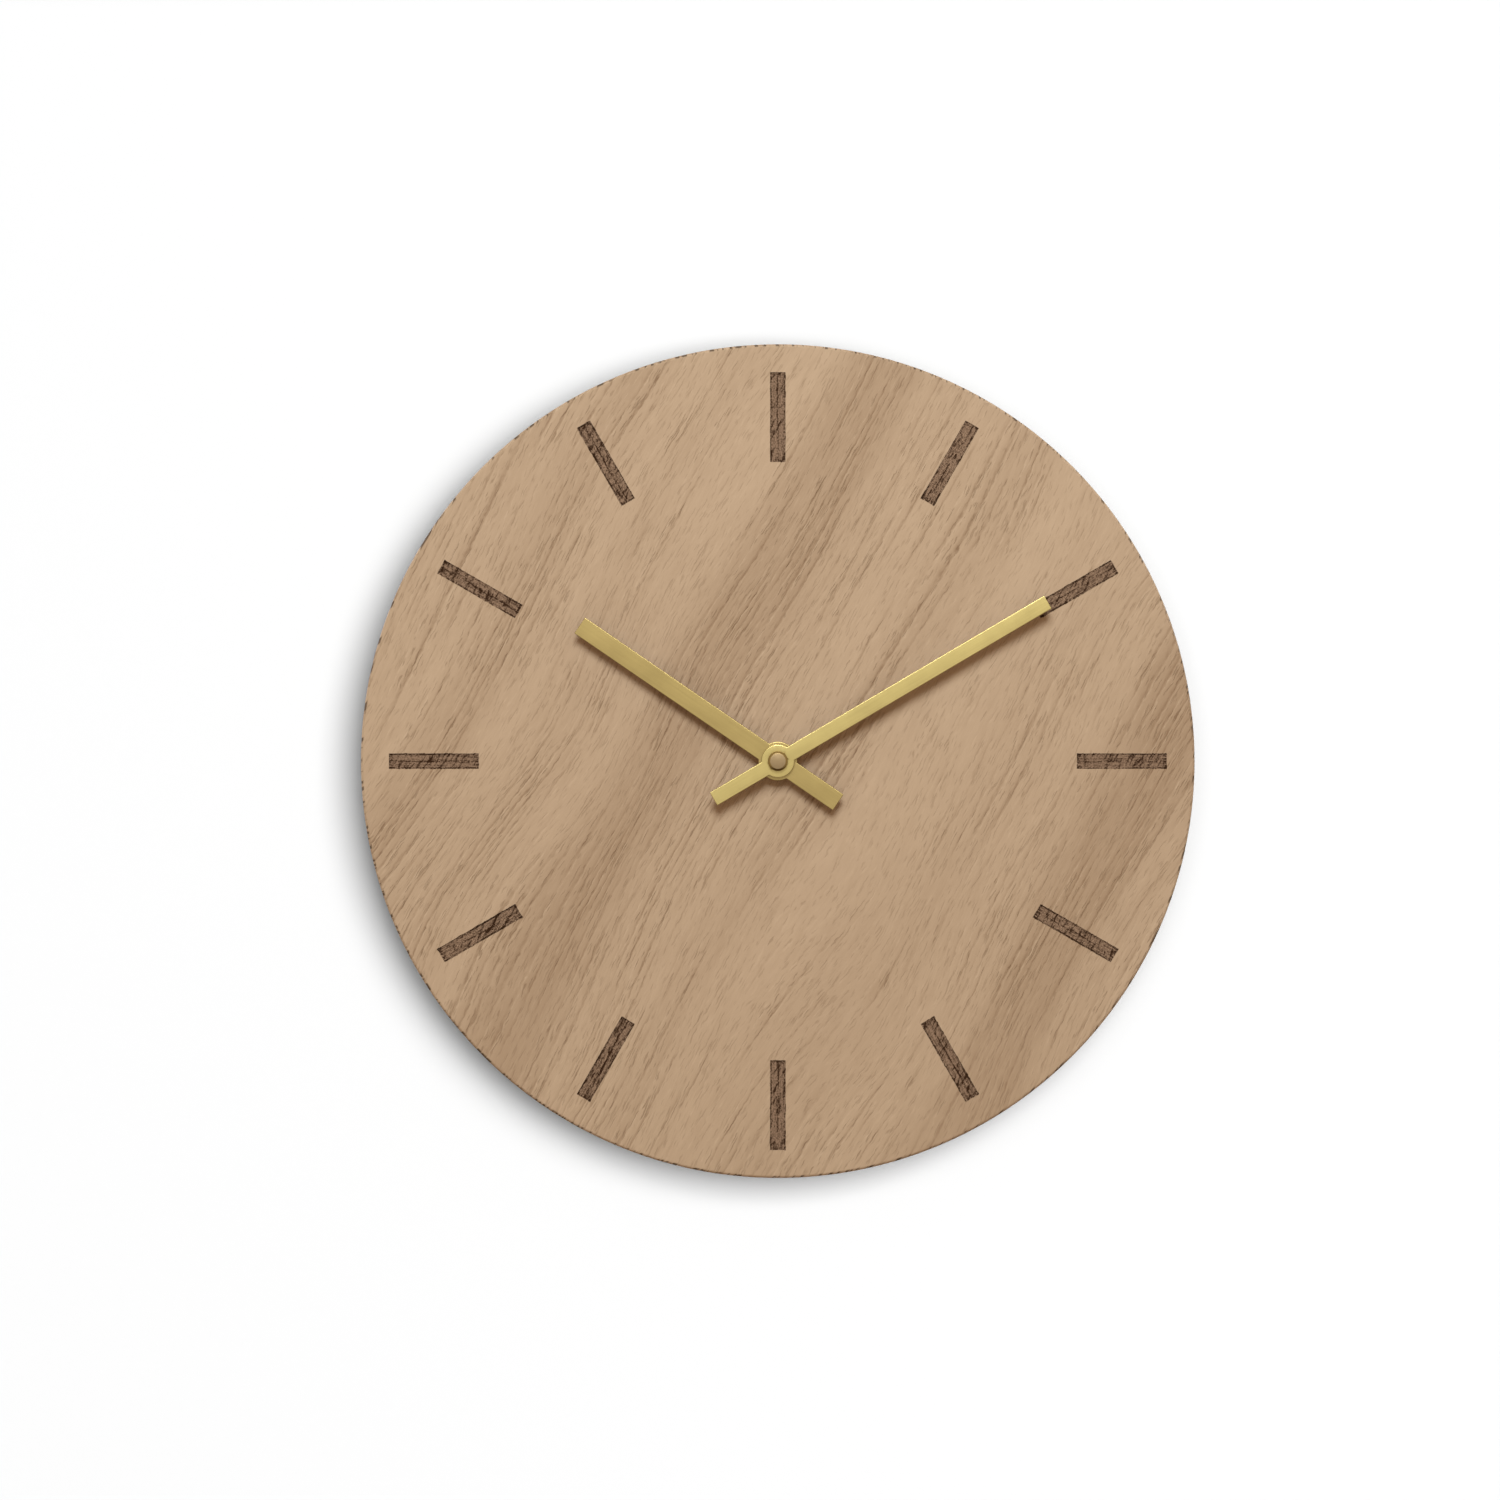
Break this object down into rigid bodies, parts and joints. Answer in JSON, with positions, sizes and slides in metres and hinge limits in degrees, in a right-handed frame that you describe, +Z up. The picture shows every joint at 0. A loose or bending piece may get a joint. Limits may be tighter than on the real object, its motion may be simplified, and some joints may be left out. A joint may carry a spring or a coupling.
{
  "type": "wall clock",
  "caption": "Round solid-oak wall clock with engraved bar marks, flat brass hour and minute hands, and a battery quartz movement let into the back.",
  "frame": {"origin": "the hanging point: the centre of the upper end of the hanger's keyhole slot, in the plane of the wall", "axes": "+Z up the wall, +X to the right as the viewer sees the dial, +Y into the wall, so the dial faces -Y"},
  "size_m": [0.28, 0.0287, 0.28],
  "materials": {
    "oak": "planed and oiled oak, grain diagonal, hour marks burnt dark brown",
    "brass": "satin brass",
    "steel": "bright steel",
    "zinc_steel": "zinc-plated sheet steel",
    "soft_iron": "bare soft iron sheet",
    "magnet": "bonded magnet",
    "copper": "enamelled copper wire",
    "black_plastic": "moulded black plastic, fine grain",
    "white_plastic": "moulded natural acetal",
    "rubber": "black rubber",
    "circuit_board": "green circuit board",
    "black_epoxy": "black epoxy drop",
    "battery_wrap": "plain battery sleeve"
  },
  "bodies": {
    "dial_body": {"oak_dial": "oak", "hanger_plate": "zinc_steel", "hanger_screw_upper": "steel", "hanger_screw_lower": "steel", "threaded_bushing": "brass", "rubber_washer": "rubber", "dial_washer": "brass", "fixing_nut": "brass", "movement_case": "black_plastic", "rear_cover": "black_plastic", "gear_bridge": "white_plastic", "stator": "soft_iron", "coil_core": "soft_iron", "coil_bobbin": "white_plastic", "coil_winding": "copper", "circuit_board": "circuit_board", "driver_chip": "black_epoxy", "quartz_crystal": "steel", "contact_positive": "zinc_steel", "contact_negative": "zinc_steel"},
    "minute_body": {"minute_hand": "brass", "minute_hand_bush": "brass", "cap_nut": "brass", "cannon_pinion": "brass", "centre_wheel": "white_plastic"},
    "hour_body": {"hour_hand": "brass", "hour_hand_bush": "brass", "hour_wheel": "white_plastic"},
    "motion_body": {"minute_wheel": "white_plastic"},
    "setting_body": {"setting_stem": "white_plastic", "setting_knob": "black_plastic"},
    "third_body": {"third_wheel": "white_plastic"},
    "second_body": {"second_wheel": "white_plastic", "second_arbor": "steel"},
    "intermediate_body": {"intermediate_wheel": "white_plastic"},
    "rotor_body": {"rotor_pinion": "white_plastic", "rotor_magnet": "magnet"},
    "battery_body": {"battery": "battery_wrap"}
  },
  "joints": [
    {"name": "minute_turn", "type": "hinge", "parent": "dial_body", "child": "minute_body", "pos_m": [0, 0, -0.095], "axis": [0, 1, 0], "continuous": true},
    {"name": "hour_turn", "type": "hinge", "parent": "dial_body", "child": "hour_body", "pos_m": [0, 0, -0.095], "axis": [0, 1, 0], "continuous": true},
    {"name": "motion_turn", "type": "hinge", "parent": "dial_body", "child": "motion_body", "pos_m": [0.0086, 0, -0.09796], "axis": [0, 1, 0], "continuous": true},
    {"name": "setting_turn", "type": "hinge", "parent": "dial_body", "child": "setting_body", "pos_m": [0.01547, 0, -0.09199], "axis": [0, 1, 0], "continuous": true},
    {"name": "third_turn", "type": "hinge", "parent": "dial_body", "child": "third_body", "pos_m": [-0.0091, 0, -0.095], "axis": [0, 1, 0], "continuous": true},
    {"name": "second_turn", "type": "hinge", "parent": "dial_body", "child": "second_body", "pos_m": [0, 0, -0.095], "axis": [0, 1, 0], "continuous": true},
    {"name": "intermediate_turn", "type": "hinge", "parent": "dial_body", "child": "intermediate_body", "pos_m": [-0.00266, 0, -0.0863], "axis": [0, 1, 0], "continuous": true},
    {"name": "rotor_turn", "type": "hinge", "parent": "dial_body", "child": "rotor_body", "pos_m": [0.00285, 0, -0.08167], "axis": [0, 1, 0], "continuous": true},
    {"name": "battery_out", "type": "slide", "parent": "dial_body", "child": "battery_body", "axis": [0, 1, 0], "range_m": [0, 0.02]}
  ],
  "couplings": [
    {"joint": "hour_turn", "follows": "minute_turn", "ratio": 0.083333},
    {"joint": "motion_turn", "follows": "minute_turn", "ratio": -0.33333},
    {"joint": "setting_turn", "follows": "minute_turn", "ratio": 1},
    {"joint": "third_turn", "follows": "minute_turn", "ratio": -8},
    {"joint": "second_turn", "follows": "minute_turn", "ratio": 60},
    {"joint": "intermediate_turn", "follows": "minute_turn", "ratio": -360},
    {"joint": "rotor_turn", "follows": "minute_turn", "ratio": 1800}
  ]
}
